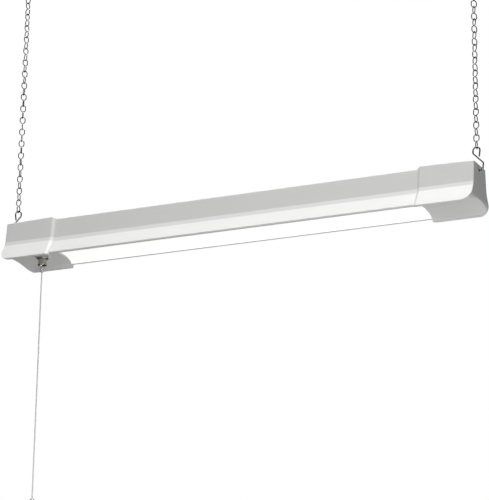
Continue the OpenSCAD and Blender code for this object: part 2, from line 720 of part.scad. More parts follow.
switch_w = 22;
switch_a = switch_x - 14;
switch_b = switch_x + 18;
drum_x = switch_x + drum_d / 2 + ball_d / 2;
drum_z = switch_z + 15;
axle_r = 1.5;
blade_t = 0.6;
blade_y = 5;
blade_mid = switch_b - switch_wall - 1 - blade_t / 2;

module switch_body() color([0.16, 0.1, 0.06]) at_light() difference() {
  box([switch_a, -switch_w / 2, switch_z], [switch_b, switch_w / 2, switch_top]);
  box([switch_a + switch_wall, -switch_w / 2 + switch_wall, switch_z + switch_wall],
    [switch_b - switch_wall, switch_w / 2 + eps, switch_top - switch_wall]);
  translate([switch_x, 0, switch_z - eps])
    cylinder(h = switch_wall + 2 * eps, d = nozzle_d + 2 * run_gap);
  translate([drum_x, -switch_w / 2, drum_z]) rotate([90, 0, 0])
    cylinder(h = 4 * switch_wall, r = axle_r + run_gap, center = true);
  for (s = [-1, 1]) translate([blade_mid, s * blade_y, switch_top])
    cube([blade_t + 2 * run_gap, 5 + 2 * run_gap, 4 * switch_wall], center = true);
}

module switch_cover() color([0.16, 0.1, 0.06]) at_light() difference() {
  union() {
    box([switch_a, switch_w / 2, switch_z], [switch_b, switch_w / 2 + switch_wall, switch_top]);
    box([switch_a + switch_wall + run_gap, switch_w / 2 - 1.2, switch_top - switch_wall - 3],
      [switch_b - switch_wall - run_gap, switch_w / 2, switch_top - switch_wall - run_gap]);
  }
  translate([drum_x, switch_w / 2, drum_z]) rotate([90, 0, 0])
    cylinder(h = 4 * switch_wall, r = axle_r + run_gap, center = true);
}

drum_w = 8;
flange_t = 1;
drum_flange_r = drum_d / 2 + ball_d / 2 + 0.2;
module switch_spool() color("ivory") at_light() translate([drum_x, 0, drum_z])
  rotate([90, 0, 0]) {
    rotate_extrude() polygon(concat([[0, -drum_w / 2 - flange_t],
      [drum_flange_r, -drum_w / 2 - flange_t], [drum_flange_r, -drum_w / 2],
      [drum_d / 2, -groove_r]], [for (a = [-60:20:60])
        [drum_d / 2 - groove_deep * cos(a), groove_r * sin(a)]],
      [[drum_d / 2, groove_r], [drum_flange_r, drum_w / 2],
      [drum_flange_r, drum_w / 2 + flange_t], [0, drum_w / 2 + flange_t]]));
    cylinder(h = switch_w + 2 * switch_wall - 0.2, r = axle_r, center = true);
  }
groove_deep = 0.3;
groove_r = ball_d / 2 + 0.4;

// The torsion spring sits round the axle beside the drum
spring_wire = 0.7;
spring_turns = 5;
spring_r = 3;
module switch_spring() color(zinc) at_light() translate([drum_x, 0, drum_z])
  tube([for (i = [0:12 * spring_turns]) [spring_r * cos(30 * i),
    drum_w / 2 + flange_t + 0.7 + i * spring_wire * 1.25 / 12, spring_r * sin(30 * i)]],
    spring_wire / 2, 6);

module switch_contacts() color("gold") at_light() for (s = [-1, 1])
  box([blade_mid - blade_t / 2, s * blade_y - 2.5, switch_z + switch_wall],
    [blade_mid + blade_t / 2, s * blade_y + 2.5, blade_top]);

// The nozzle runs from the switch through the vault and opens in a wide mouth
nozzle_low = -4.5;
nut_h = 4.5;
nut_w = 22;
nut_top = vault_rise - 0.5;
module switch_nozzle() color([0.45, 0.44, 0.38]) at_light() translate([switch_x, 0, 0])
  rotate_extrude() polygon([
    [nozzle_bore / 2, switch_z + switch_wall], [nozzle_bore / 2, nozzle_low + 5],
    [nozzle_mouth_d / 2 - 3, nozzle_low + 1], [nozzle_mouth_d / 2 - 1.6, nozzle_low],
    [nozzle_mouth_d / 2, nozzle_low + 0.6], [nozzle_mouth_d / 2, nozzle_low + 2],
    [nozzle_mouth_d / 2 - 0.8, nozzle_low + 4], [nozzle_mouth_d / 2 - 1, nut_top - nut_h - end_gap],
    [nozzle_d / 2, nut_top - nut_h - end_gap], [nozzle_d / 2, switch_z + switch_wall]]);

module switch_nut() color(zinc) at_light() translate([switch_x, 0, nut_top - nut_h])
  difference() {
    intersection() {
      cylinder(h = nut_h, d = nut_w / cos(30), $fn = 6);
      rotate_extrude() polygon([[0, 0], [nut_w / 2 - 0.4, 0], [nut_w / cos(30) / 2, 1.4],
        [nut_w / cos(30) / 2, nut_h], [0, nut_h]]);
    }
    translate([0, 0, -eps]) cylinder(h = nut_h + 2 * eps, d = nozzle_d + 2 * run_gap);
  }

// ---- Pull chain, cord and knob ----

ball_wire = 1;
chain_top_z = drum_z;
chain_end_z = chain_top_z - (ball_count - 1) * ball_pitch;
module pull_chain() color(zinc) at_light() translate([switch_x, 0, 0]) {
  for (i = [0:ball_count - 1]) translate([0, 0, chain_top_z - i * ball_pitch]) sphere(d = ball_d);
  translate([0, 0, chain_end_z]) cylinder(h = chain_top_z - chain_end_z, d = ball_wire);
}

// The connector holds the last ball and the end of the cord
connector_h = 10;
connector_top = chain_end_z + ball_d / 2 + 0.6;
cord_in = 3;
cord_top = connector_top - connector_h + cord_in;
module chain_connector() color(zinc) at_light()
  translate([switch_x, 0, connector_top - connector_h]) rotate_extrude() polygon([
    [cord_d / 2 + run_gap, 0], [cord_d / 2 + 1.2, 0], [cord_d / 2 + 1.5, 1],
    [ball_d / 2 + 1, connector_h - 2], [ball_d / 2 + 0.7, connector_h],
    [ball_wire / 2 + 0.2, connector_h], [ball_wire / 2 + 0.2, connector_h - 0.6],
    [ball_d / 2 + run_gap, connector_h - 1], [ball_d / 2 + run_gap, connector_h - ball_d - 1.4],
    [0, connector_h - ball_d - 1.4], [0, cord_in], [cord_d / 2 + run_gap, cord_in]]);

// Route of the cord below its top end, as [sideways, front to back, down]
cord_route = [[0, 0, 0], [0, 0, 8], [0, 0, 30], [0, 0, 60], [0, 0, 90], [0, 0, 120],
  [0, 0, 150], [0, 0, 180], [0, 0, 210], [0, 0, 240], [0, 0, 270], [0, 0, 300],
  [0, 0, 330], [0, 0, 360], [0, 0, 390], [0, 0, 420], [0, 0, 432]];
cord_end = cord_top - cord_route[len(cord_route) - 1][2];
ring_step = 7.5;
module pull_cord() color("whitesmoke") at_light() translate([switch_x, 0, cord_top])
  tube([for (i = [0:len(cord_route) - 2])
    let (a = cord_route[i], b = cord_route[i + 1], n = max(1, round(norm(b - a) / ring_step)))
    each [for (k = [0:(i < len(cord_route) - 2 ? n - 1 : n)]) let (q = a + (b - a) * k / n)
      [q[0], q[1], -q[2]]]], cord_d / 2, 8);

// The knob is a bell; the cord ends in a bore in its crown
cord_seat = 8;
crown_d = 6;
knob_top = cord_end + cord_seat;
module pull_knob() color(zinc) at_light() translate([switch_x, 0, knob_top - knob_h])
  rotate_extrude() polygon([[cord_d / 2 + run_gap, knob_h], [crown_d / 2, knob_h],
    [crown_d / 2 + 1.3, knob_h - 1], [knob_d * 0.3, knob_h - 3], [knob_d * 0.36, knob_h - 7],
    [knob_d * 0.42, knob_h * 0.5], [knob_d / 2 - 0.6, knob_h * 0.14], [knob_d / 2, 1.2],
    [knob_d / 2, 0.4], [knob_d / 2 - 0.5, 0], [knob_d / 2 - 1.4, 0.4],
    [knob_d * 0.42 - 1.6, knob_h * 0.5], [knob_d * 0.3 - 1, knob_h - cord_seat - 1.2],
    [0, knob_h - cord_seat - 1.2], [0, knob_h - cord_seat],
    [cord_d / 2 + run_gap, knob_h - cord_seat]]);

ceiling_hook_left();
ceiling_hook_right();
left_top_link();
left_chain();
left_v_hook();
right_top_link();
right_chain();
right_v_hook();
housing();
left_end_cap();
right_end_cap();
lens();
left_bracket();
right_bracket();
bracket_rivets();
cap_screws();
led_tray();
tray_posts();
tray_screws();
led_board_front();
led_board_rear();
led_chips();
board_screws();
board_jumper();
driver_case();
driver_cover();
driver_board();
driver_transformer();
driver_capacitors();
driver_screws();
cord_bushing();
bushing_nut();
wire_connectors();
live_wires();
neutral_wire();
ground_wire();
ground_lug();
ground_screw();
led_wires();
switch_body();
switch_cover();
switch_spool();
switch_spring();
switch_contacts();
switch_nozzle();
switch_nut();
pull_chain();
chain_connector();
pull_cord();
pull_knob();
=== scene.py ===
"""The looks of a hanging shop light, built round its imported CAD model.

X runs along the light, Y from its front to its back and Z up. Profiles are drawn in
millimetres above the lower rims of the end caps, and at_light() puts them in place.
"""

import math

import bmesh
import bpy
from mathutils import Matrix, Vector


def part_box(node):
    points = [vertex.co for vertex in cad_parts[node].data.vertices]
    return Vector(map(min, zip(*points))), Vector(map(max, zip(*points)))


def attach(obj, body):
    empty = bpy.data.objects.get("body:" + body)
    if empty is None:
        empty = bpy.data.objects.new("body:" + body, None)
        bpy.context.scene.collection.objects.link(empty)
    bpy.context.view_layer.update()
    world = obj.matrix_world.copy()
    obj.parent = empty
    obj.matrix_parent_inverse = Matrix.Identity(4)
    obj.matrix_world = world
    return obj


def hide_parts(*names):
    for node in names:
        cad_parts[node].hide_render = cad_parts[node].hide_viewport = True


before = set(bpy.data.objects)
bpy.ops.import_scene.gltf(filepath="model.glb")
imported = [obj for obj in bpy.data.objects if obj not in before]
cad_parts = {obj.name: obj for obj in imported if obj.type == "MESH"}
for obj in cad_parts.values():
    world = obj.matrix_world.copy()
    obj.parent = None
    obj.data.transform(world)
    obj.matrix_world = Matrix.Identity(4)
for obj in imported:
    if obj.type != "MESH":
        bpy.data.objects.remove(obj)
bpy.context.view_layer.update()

MM = 0.001

# ---- Places, in millimetres, read from the imported model ----


def low(node, axis):
    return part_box(node)[0][axis] / MM


def high(node, axis):
    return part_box(node)[1][axis] / MM


X, Y, Z = 0, 1, 2
rims_z = low("right_end_cap", Z)
end_x = high("right_end_cap", X)
rim_x = low("right_end_cap", X)
rim_half_w = high("right_end_cap", Y)
cap_h = high("right_end_cap", Z) - rims_z
channel_end_x = high("housing", X)
lip_z = low("housing", Z) - rims_z
lens_end_x = high("lens", X)
switch_x = (low("switch_nozzle", X) + high("switch_nozzle", X)) / 2
cord_top_z = high("pull_cord", Z) - rims_z
cord_d = high("pull_cord", X) - low("pull_cord", X)
knob_low_z = low("pull_knob", Z) - rims_z
connector_low_z = low("chain_connector", Z) - rims_z
link_wire = 1.8
chain_low_z = low("right_chain", Z) - rims_z + link_wire / 2
chain_x = (low("right_top_link", X) + high("right_top_link", X)) / 2


def at_light(x, y, z):
    """A point in millimetres above the caps' rims, as a place in metres."""
    return Vector((x * MM, y * MM, (rims_z + z) * MM))


def added(name, data):
    """A new object in the scene."""
    thing = bpy.data.objects.new(name, data)
    bpy.context.collection.objects.link(thing)
    return thing


# ---- Camera ----

PHOTO_HEIGHT = 500   # pixels, the photo's longer side, which the sensor's width spans
FOCAL_PIXELS = 2089.9
CAMERA_AT = (1548.84, -3172.17, -1081.73)
CAMERA_TURN = math.radians(25.748)   # to the left of straight ahead
CAMERA_RISE = math.radians(16.729)
CAMERA_ROLL = math.radians(0.809)


def make_camera():
    data = bpy.data.cameras.new("photo_camera")
    data.sensor_width = 36
    data.lens = data.sensor_width * FOCAL_PIXELS / PHOTO_HEIGHT
    data.clip_start = 0.1
    data.clip_end = 100
    camera = added("photo_camera", data)
    turn, rise = CAMERA_TURN, CAMERA_RISE
    ahead = Vector((-math.sin(turn) * math.cos(rise), math.cos(turn) * math.cos(rise),
                    math.sin(rise)))
    right = Vector((math.cos(turn), math.sin(turn), 0))
    up = right.cross(ahead)
    c, s = math.cos(CAMERA_ROLL), math.sin(CAMERA_ROLL)
    right, up = c * right + s * up, c * up - s * right
    axes = Matrix((right, up, -ahead)).transposed()
    camera.matrix_world = Matrix.Translation(at_light(*CAMERA_AT)) @ axes.to_4x4()
    bpy.context.scene.camera = camera


make_camera()

# ---- Shaders ----


class Number:
    """A number in a shader. Arithmetic on it adds Math nodes."""

    def __init__(self, finish, socket):
        self.finish = finish
        self.socket = socket

    def math(self, operation, first, second):
        return self.finish.add("ShaderNodeMath", {"operation": operation},
                               {0: first, 1: second})

    def __add__(self, other):
        return self.math("ADD", self, other)

    def __radd__(self, other):
        return self.math("ADD", other, self)

    def __sub__(self, other):
        return self.math("SUBTRACT", self, other)

    def __rsub__(self, other):
        return self.math("SUBTRACT", other, self)

    def __mul__(self, other):
        return self.math("MULTIPLY", self, other)

    def __rmul__(self, other):
        return self.math("MULTIPLY", other, self)

    def __gt__(self, other):
        return self.math("GREATER_THAN", self, other)

    def __lt__(self, other):
        return self.math("LESS_THAN", self, other)


class Finish:
    """One material: its Principled shader and the nodes that feed it."""

    def __init__(self, name, colour, roughness, **constants):
        self.material = bpy.data.materials.new(name)
        self.material.use_nodes = True
        self.nodes = self.material.node_tree.nodes
        self.links = self.material.node_tree.links
        self.shader = self.nodes["Principled BSDF"]
        self.feed("Base Color", colour)
        self.feed("Roughness", roughness)
        for socket, value in constants.items():
            self.feed(socket.replace("_", " "), value)
        self.place = self.add("ShaderNodeTexCoord", output="Object")
        parts = self.add("ShaderNodeSeparateXYZ", sockets={0: self.place})
        self.x, self.y, self.z = (Number(self, s) for s in parts.socket.node.outputs)

    def put(self, socket, value):
        if isinstance(value, Number):
            self.links.new(value.socket, socket)
        elif hasattr(value, "__len__") and len(value) == 3 and socket.type == "RGBA":
            socket.default_value = (*value, 1)
        else:
            socket.default_value = value

    def feed(self, name, value):
        """Sets a socket of the shader, or links a number or colour to it."""
        self.put(self.shader.inputs[name], value)

    def add(self, kind, settings=None, sockets=None, output=0):
        """Adds any other node: its settings, then the values or links of its sockets."""
        node = self.nodes.new(kind)
        for name, value in (settings or {}).items():
            setattr(node, name, value)
        for name, value in (sockets or {}).items():
            self.put(node.inputs[name], value)
        return Number(self, node.outputs[output])

    def sine(self, value):
        return self.add("ShaderNodeMath", {"operation": "SINE"}, {0: value})

    def unsigned(self, value):
        return self.add("ShaderNodeMath", {"operation": "ABSOLUTE"}, {0: value})

    def clamped(self, value):
        return self.add("ShaderNodeClamp", sockets={"Value": value})

    def noise(self, scale, detail=2.0, along=None):
        """Smooth noise from 0 to 1, with scale features a metre."""
        return self.add("ShaderNodeTexNoise", sockets={
            "Vector": along or self.place, "Scale": scale, "Detail": detail})

    def cells(self, scale, output="Distance"):
        """Cells, with scale of them a metre."""
        return self.add("ShaderNodeTexVoronoi", None,
                        {"Vector": self.place, "Scale": scale}, output)

    def stretched(self, x, y, z):
        """The place on the object, scaled along each axis."""
        return self.add("ShaderNodeVectorMath", {"operation": "MULTIPLY"},
                        {0: self.place, 1: (x, y, z)})

    def blend(self, share, first, second):
        """The first colour where share is 0, and the second where it is 1."""
        mix = self.nodes.new("ShaderNodeMix")
        mix.data_type = "RGBA"
        self.put(mix.inputs[0], share)
        self.put(mix.inputs[6], first)
        self.put(mix.inputs[7], second)
        return Number(self, mix.outputs[2])

    def shaded(self, share, least, colour):
        """The colour where share is 1, and least times as bright where it is 0."""
        return self.blend(share, [c * least for c in colour], colour)

    def raise_by(self, height, depth):
        """Bump from a height of 0 to 1 that stands depth metres high."""
        self.feed("Normal", self.add("ShaderNodeBump", sockets={
            "Height": height, "Strength": 1.0, "Distance": depth}))


def powder_coat(name, colour, gloss=0.36):
    """White paint baked on sheet steel, with a faint orange peel."""
    f = Finish(name, colour, gloss, Coat_Weight=0.2, Coat_Roughness=0.2)
    f.feed("Base Color", f.shaded(f.noise(9), 0.96, colour))
    f.feed("Roughness", gloss - 0.05 + 0.1 * f.noise(35, 4))
    f.raise_by(f.noise(420, 1) + 0.2 * f.noise(1900, 2), 0.00003)
    return f.material


def moulded_plastic(name, colour, gloss, grain=2600):
    """Plastic from a fine-grained mould."""
    f = Finish(name, colour, gloss, Specular_IOR_Level=0.3)
    f.feed("Base Color", f.shaded(f.noise(22, 3), 0.965, colour))
    f.feed("Roughness", gloss - 0.04 + 0.1 * f.noise(60, 3))
    f.raise_by(f.cells(grain) + 0.3 * f.noise(300), 0.00002)
    return f.material


def opal(name):
    """The lit diffuser: brighter along its middle, and faintly ribbed."""
    f = Finish(name, (0.93, 0.93, 0.9), 0.35, IOR=1.49)
    along_middle = f.clamped(1.25 - 60 * f.unsigned(f.y))
    streaks = f.noise(1, 3, along=f.stretched(3, 260, 0))
    f.feed("Emission Color", f.blend(0.6 * along_middle + 0.3 * streaks,
                                     (0.94, 0.94, 0.915), (1.0, 1.0, 0.97)))
    f.feed("Emission Strength", 0.56)
    f.raise_by(f.sine(1600 * f.y) * 0.5 + 0.5, 0.00002)
    return f.material


def zinc_plate(name, colour, gloss):
    """Zinc or nickel plating on steel, cloudy and faintly drawn."""
    grain = 700
    f = Finish(name, colour, gloss, Metallic=1.0)
    cloud = f.noise(grain * 0.3, 4)
    f.feed("Base Color", f.shaded(cloud, 0.75, colour))
    f.feed("Roughness", gloss - 0.08 + 0.2 * f.noise(grain, 3))
    f.raise_by(f.noise(grain * 3, 2), 0.000015)
    return f.material


def galvanised(name, colour):
    """Sheet steel with the spangle of hot zinc."""
    f = Finish(name, colour, 0.4, Metallic=1.0)
    spangle = f.cells(180, "Color")
    share = f.add("ShaderNodeSeparateColor", sockets={0: spangle})
    f.feed("Base Color", f.shaded(share, 0.84, colour))
    f.feed("Roughness", 0.32 + 0.12 * share)
    f.raise_by(f.noise(1500), 0.00001)
    return f.material


def insulation(name, colour, other=None):
    """Wire covering, with any second colour on the wires in front of the middle."""
    f = Finish(name, colour, 0.35)
    shade = f.shaded(f.noise(90, 3), 0.85, colour)
    if other:
        shade = f.blend(f.y > 0, other, shade)
    f.feed("Base Color", shade)
    f.feed("Roughness", 0.3 + 0.12 * f.noise(400, 2))
    f.raise_by(f.noise(1200), 0.00002)
    return f.material


def lamp_board_white(name):
    """White solder mask with paler tracks along it."""
    f = Finish(name, (0.9, 0.9, 0.87), 0.4)
    track = f.sine(900 * f.y) > 0.82
    f.feed("Base Color", f.blend(track, (0.9, 0.9, 0.87), (0.8, 0.8, 0.76)))
    f.feed("Roughness", 0.38 + 0.1 * f.noise(200))
    f.raise_by(0.7 * track + 0.3 * f.noise(900), 0.00003)
    return f.material


def phosphor(name):
    """A lamp chip's yellow phosphor, cloudy and faintly lit."""
    f = Finish(name, (0.9, 0.74, 0.22), 0.3)
    f.feed("Base Color", f.blend(f.noise(1400, 2), (0.82, 0.62, 0.14), (0.95, 0.82, 0.3)))
    f.feed("Emission Color", (1.0, 0.9, 0.6))
    f.feed("Emission Strength", 0.6)
    f.raise_by(f.cells(3000), 0.00002)
    return f.material


def circuit_green(name):
    """Green solder mask over copper tracks."""
    f = Finish(name, (0.02, 0.16, 0.06), 0.3, Coat_Weight=0.3)
    track = (f.sine(520 * f.x) > 0.55) + (f.sine(610 * f.y) > 0.7)
    f.feed("Base Color", f.blend(f.clamped(track), (0.02, 0.13, 0.05), (0.05, 0.26, 0.1)))
    f.feed("Roughness", 0.3 + 0.1 * f.noise(300))
    f.raise_by(f.clamped(track), 0.00004)
    return f.material


def transformer_finish(name):
    """A grey ferrite core round an amber taped winding."""
    winding_half_w = 0.0079
    f = Finish(name, (0.09, 0.09, 0.1), 0.6)
    middle = f.unsigned(f.y) < winding_half_w
    tape = f.sine(2600 * f.y) * 0.5 + 0.5
    winding = f.blend(tape, (0.55, 0.3, 0.05), (0.75, 0.45, 0.1))
    core = f.blend(f.noise(500, 4), (0.06, 0.06, 0.065), (0.13, 0.13, 0.14))
    f.feed("Base Color", f.blend(middle, core, winding))
    f.feed("Roughness", 0.65 - 0.25 * middle)
    f.raise_by(f.noise(1600, 3), 0.00004)
    return f.material


def capacitor_sleeve(name):
    """A dark blue shrunk sleeve with paler stripes."""
    f = Finish(name, (0.03, 0.04, 0.16), 0.28)
    stripe = f.sine(700 * f.x) > 0.9
    f.feed("Base Color", f.blend(stripe, (0.03, 0.04, 0.16), (0.35, 0.4, 0.55)))
    f.feed("Roughness", 0.25 + 0.12 * f.noise(300))
    f.raise_by(f.noise(900), 0.00002)
    return f.material


def braided_cord(name, middle_x):
    """A pale braid: two sets of strands that wind opposite ways and cross, with painted
    shade in the grooves between them.
    """
    f = Finish(name, (0.88, 0.88, 0.85), 0.75, Sheen_Weight=0.25)
    angle = f.add("ShaderNodeMath", {"operation": "ARCTAN2"},
                  {0: f.y, 1: f.x - middle_x})
    left = f.sine(6 * angle + 2600 * f.z)
    right = f.sine(6 * angle - 2600 * f.z)
    upper = f.add("ShaderNodeMath", {"operation": "MAXIMUM"}, {0: left, 1: right})
    strands = f.clamped(0.5 + 0.5 * upper)
    # Painted shade: the braid's colour darkens where the strands sink, in the grooves
    # between them.
    f.feed("Base Color", f.blend(strands, (0.74, 0.74, 0.71), (0.93, 0.93, 0.9)))
    f.feed("Roughness", 0.85 - 0.15 * strands)
    f.raise_by(strands + 0.3 * f.noise(5200, 3), 0.00012)
    return f.material


def polished(name, colour, gloss):
    """Polished metal with fine turning marks round it."""
    f = Finish(name, colour, gloss, Metallic=1.0)
    rings = f.noise(1, 2, along=f.stretched(0, 0, 5200))
    f.feed("Base Color", f.shaded(f.noise(160, 3), 0.86, colour))
    f.feed("Roughness", gloss + 0.12 * rings)
    f.raise_by(rings, 0.000008)
    return f.material


# ---- Shapes ----


def eased(points, radii, steps=6):
    """Points with each inner corner rounded to its radius."""
    points = [Vector(p) for p in points]
    result = [points[0]]
    for i in range(1, len(points) - 1):
        p, radius = points[i], radii[i - 1]
        before = (p - points[i - 1]).normalized()
        after = (points[i + 1] - p).normalized()
        turn = math.acos(max(-1.0, min(1.0, before.dot(after))))
        if radius <= 0 or turn < 0.01:
            result.append(p)
            continue
        aside = (after - before * after.dot(before)).normalized()
        centre = p - before * radius * math.tan(turn / 2) + aside * radius
        for k in range(steps + 1):
            a = turn * k / steps
            result.append(centre - aside * radius * math.cos(a)
                          + before * radius * math.sin(a))
    result.append(points[-1])
    return result


def moved_left(line, gap):
    """An open line in a plane, moved to its left by gap."""
    line = [Vector(p) for p in line]
    moved = []
    for i, p in enumerate(line):
        before = (p - line[i - 1]).normalized() if i > 0 else None
        after = (line[i + 1] - p).normalized() if i < len(line) - 1 else None
        before, after = before or after, after or before
        a, b = Vector((-before.y, before.x)), Vector((-after.y, after.x))
        moved.append(p + (a + b) * gap / (1 + a.dot(b)))
    return moved


def on_line(a, b, height):
    """The point at that height on the line through a and b."""
    return Vector((a.x + (b.x - a.x) * (height - a.y) / (b.y - a.y), height))


def mirrored(half):
    """A line from the right side to the middle, with its mirror image joined on."""
    left = [Vector((-p[0], p[1])) for p in reversed(half) if abs(p[0]) > 1e-6]
    return list(half) + left


def smooth_line(points):
    """A smooth curve through the points, with three steps to each span."""
    steps = 3
    points = [Vector(p) for p in points]
    padded = [points[0]] + points + [points[-1]]
    result = []
    for i in range(1, len(padded) - 2):
        a, b, c, d = padded[i - 1:i + 3]
        for k in range(steps):
            t = k / steps
            result.append(0.5 * (2 * b + (c - a) * t
                                 + (2 * a - 5 * b + 4 * c - d) * t ** 2
                                 + (3 * b - a - 3 * c + d) * t ** 3))
    result.append(points[-1])
    return result


def turns(count):
    """The angles of even steps round a circle."""
    return [2 * math.pi * k / count for k in range(count)]


def circle(centre, radius, s, t, sides):
    """Points round the centre, in the plane of s and t."""
    return [centre + radius * (math.cos(a) * s + math.sin(a) * t) for a in turns(sides)]


def mesh_of(bm, name):
    mesh = bpy.data.meshes.new(name)
    bm.to_mesh(mesh)
    bm.free()
    return mesh


def closed_mesh(bm, name, merge, least):
    """The mesh of bm, its double points and lost faces gone and its faces outwards."""
    bmesh.ops.remove_doubles(bm, verts=bm.verts, dist=merge)
    bmesh.ops.dissolve_degenerate(bm, edges=bm.edges, dist=least)
    bmesh.ops.recalc_face_normals(bm, faces=bm.faces)
    return mesh_of(bm, name)


def piece_from(bm, name, body, finish, nodes, sharp=35):
    """Makes a piece, smooth but for edges sharper than the angle, on its body, and hides the
    CAD nodes it stands in for.
    """
    mesh = closed_mesh(bm, name, 2e-6, 1e-6)
    mesh.polygons.foreach_set("use_smooth", [True] * len(mesh.polygons))
    mesh.set_sharp_from_angle(angle=math.radians(sharp))
    mesh.materials.append(finish)
    piece = added(name, mesh)
    weighted = piece.modifiers.new("even_shading", "WEIGHTED_NORMAL")
    weighted.keep_sharp = True
    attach(piece, body)
    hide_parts(*nodes)
    return piece


def join_rings(bm, rows):
    """Faces between each ring of points and the next."""
    for a, b in zip(rows, rows[1:]):
        for k in range(len(a)):
            n = (k + 1) % len(a)
            bm.faces.new((a[k], a[n], b[n], b[k]))


def loft(bm, rings):
    """Joins closed rings of points in metres, and closes both ends."""
    rows = [[bm.verts.new(p) for p in ring] for ring in rings]
    join_rings(bm, rows)
    bm.faces.new(rows[0][::-1])
    bm.faces.new(rows[-1])


def along_x(bm, outline, stations):
    """Extrudes an outline of (front to back, up) along X."""
    loft(bm, [[at_light(x, p[0], p[1]) for p in outline] for x in stations])


def spread(end):
    """Even stations along X, from -end to end."""
    steps = 24
    return [-end + 2 * end * k / steps for k in range(steps + 1)]


DOME = 0.7   # how far a wire's end stands out, in radii of the wire


def sweep(bm, path, radius, sides):
    """A round wire along a path of places in metres, with domed ends."""
    tangents = [(b - a).normalized()
                for a, b in zip(path[:1] + path[:-1], path[1:] + path[-1:])]
    side = tangents[0].orthogonal().normalized()
    stations = []
    for p, t in zip(path, tangents):
        side = (side - t * side.dot(t)).normalized()
        stations.append((p, t, side, 1.0))
    domes = [(math.sin(a), math.cos(a)) for a in (math.radians(d) for d in (30, 60, 82))]
    p, t, s, _ = stations[0]
    front = [(p - t * radius * DOME * h, t, s, w) for h, w in domes]
    p, t, s, _ = stations[-1]
    back = [(p + t * radius * DOME * h, t, s, w) for h, w in domes]
    loft(bm, [circle(p, radius * w, s, t.cross(s), sides)
              for p, t, s, w in front[::-1] + stations + back])


def lathe(bm, profile, centre_x, low_z, segments=64):
    """Turns a closed profile of (radius, height) about an upright axis at centre_x."""
    rows = [[bm.verts.new(at_light(centre_x + r * math.cos(a), r * math.sin(a), low_z + z))
             for a in turns(segments)] for r, z in profile]
    join_rings(bm, rows + rows[:1])


# ---- Pull cord ----

CORD_LENGTH = 432
CORD_STEP = 30
CORD_BORE_R = cord_d / 2 + 0.05
# The cord's route below its top end, as in the part: sideways, front to back and down
CORD_ROUTE = ([(0, 0, 0), (0, 0, 8)] + [(0, 0, CORD_STEP * k) for k in range(1, 15)]
              + [(0, 0, CORD_LENGTH)])


def make_cord(knob, connector, balls):
    curve = bpy.data.curves.new("pull_cord_braid", "CURVE")
    curve.dimensions = "3D"
    curve.bevel_depth = cord_d / 2 * MM
    curve.bevel_resolution = 4
    curve.use_fill_caps = True
    line = curve.splines.new("POLY")
    line.points.add(len(CORD_ROUTE) - 1)
    for point, (x, y, down) in zip(line.points, CORD_ROUTE):
        point.co = (*at_light(switch_x + x, y, cord_top_z - down), 1)
    cord = added("pull_cord_braid", curve)
    curve.materials.append(braided_cord("cord_braid", switch_x * MM))
    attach(cord, "pull")
    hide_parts("pull_cord")
    at_light(switch_x, 0, cord_top_z)


KNOB_H = 22


def make_knob():
    """The bell at the cord's end: a bored crown, a waist and a flared, rolled rim."""
    outside = smooth_line([(2.2, KNOB_H), (3.2, 21.6), (4.3, 20.6), (5.2, 18.8), (5.9, 16),
                           (6.5, 12.5), (7.1, 8), (7.7, 4.2), (8.3, 2), (8.5, 1.0),
                           (8.3, 0.25), (7.7, 0.0), (7.1, 0.4), (6.6, 2.4), (6.0, 6),
                           (5.4, 9.5), (4.4, 12.2), (2.5, 12.8)])
    bore = [(0.2, 12.8), (0.2, 14), (CORD_BORE_R, 14), (CORD_BORE_R, KNOB_H)]
    bm = bmesh.new()
    lathe(bm, outside + bore, switch_x, knob_low_z)
    finish = polished("knob_polish", (0.72, 0.7, 0.66), 0.12)
    return piece_from(bm, "bell_knob", "pull", finish, ["pull_knob"])


def make_connector():
    """The two-ended cup that holds the last ball and the cord."""
    outside = smooth_line([(CORD_BORE_R + 0.2, 0.0), (2.1, 0.0), (2.5, 0.25), (2.68, 1.0),
                           (2.5, 2.6), (2.3, 4.0), (2.5, 5.6), (2.6, 7.6), (2.45, 9.2),
                           (1.9, 9.9), (1.0, 10.0), (0.7, 9.9)])
    cup = [(0.7, 9.4), (1.65, 9.0), (1.65, 5.4), (0.2, 5.4)]
    bore = [(0.2, 3.0), (CORD_BORE_R, 3.0), (CORD_BORE_R, 0.15)]
    bm = bmesh.new()
    lathe(bm, outside + cup + bore, switch_x, connector_low_z, 40)
    finish = zinc_plate("connector_plate", (0.68, 0.68, 0.67), 0.2)
    return piece_from(bm, "cord_connector", "pull", finish,
                      ["chain_connector"])


BALL_R = 1.6
BALL_PITCH = 4
BALL_COUNT = 11
BALL_BORE_Z = 1.1
BALL_WIRE_R = 0.45
BALL_BORE_R = BALL_WIRE_R + 0.1


def make_balls():
    """Balls with a bore through their poles, on a wire."""
    top = high("pull_chain", Z) - rims_z - BALL_R
    low_z = top - (BALL_COUNT - 1) * BALL_PITCH
    outside = [(BALL_R * math.cos(a), BALL_R * math.sin(a))
               for a in (math.radians(-72 + 12 * k) for k in range(13))]
    bore = [(BALL_BORE_R, BALL_BORE_Z), (BALL_BORE_R, -BALL_BORE_Z)]
    bm = bmesh.new()
    for i in range(BALL_COUNT):
        lathe(bm, outside + bore, switch_x, top - i * BALL_PITCH, 24)
    sweep(bm, [at_light(switch_x, 0, low_z + k * (top - low_z) / 40) for k in range(41)],
          BALL_WIRE_R * MM, 8)
    finish = zinc_plate("ball_plate", (0.7, 0.7, 0.7), 0.16)
    return piece_from(bm, "ball_chain", "pull", finish, ["pull_chain"])


make_cord(make_knob(), make_connector(), make_balls())

# ---- End caps ----

